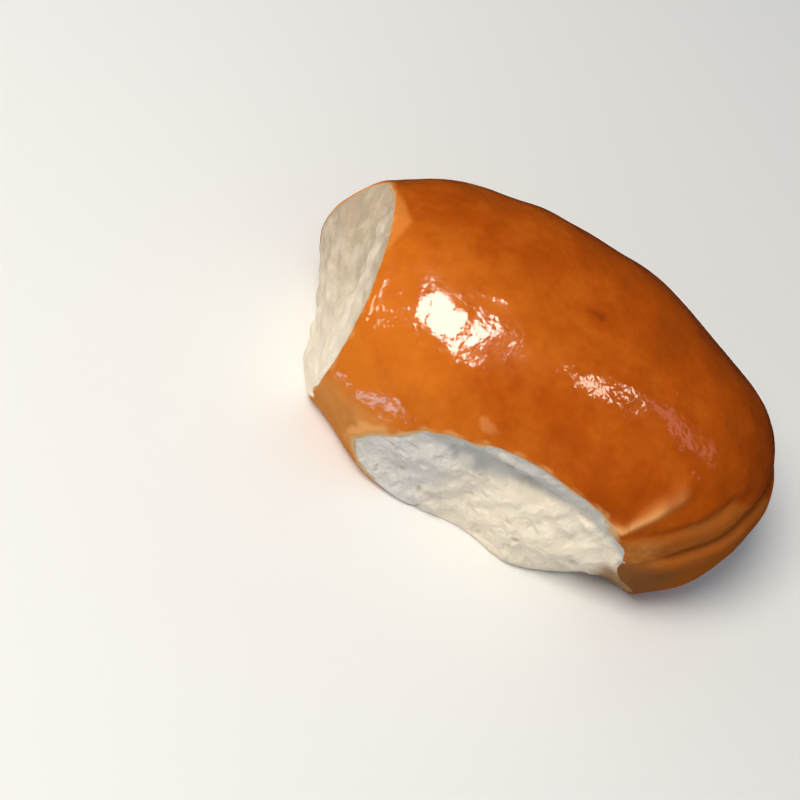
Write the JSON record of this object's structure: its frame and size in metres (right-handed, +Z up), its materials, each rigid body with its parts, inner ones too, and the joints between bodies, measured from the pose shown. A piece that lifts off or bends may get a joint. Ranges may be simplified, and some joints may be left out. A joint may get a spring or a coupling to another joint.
{
  "type": "sweet bread loaf",
  "caption": "Small oval loaf of enriched sweet bread with a glossy brown domed crust, folds at its rounded end and soft pale crumb where its front side and its other end were torn.",
  "frame": {"origin": "on the surface the loaf rests on, below the middle of its box", "axes": "+X along the loaf, from the torn end to the rounded end; +Y from the torn front side to the whole back side; +Z up"},
  "size_m": [0.1274, 0.073, 0.061],
  "materials": {
    "crust": "baked egg-washed crust, orange brown, darker on top and at the rounded end, glossy",
    "crumb": "soft torn crumb, creamy white with small pores and pulled strands, matte"
  },
  "bodies": {
    "root": {"loaf": "crust"}
  },
  "joints": []
}
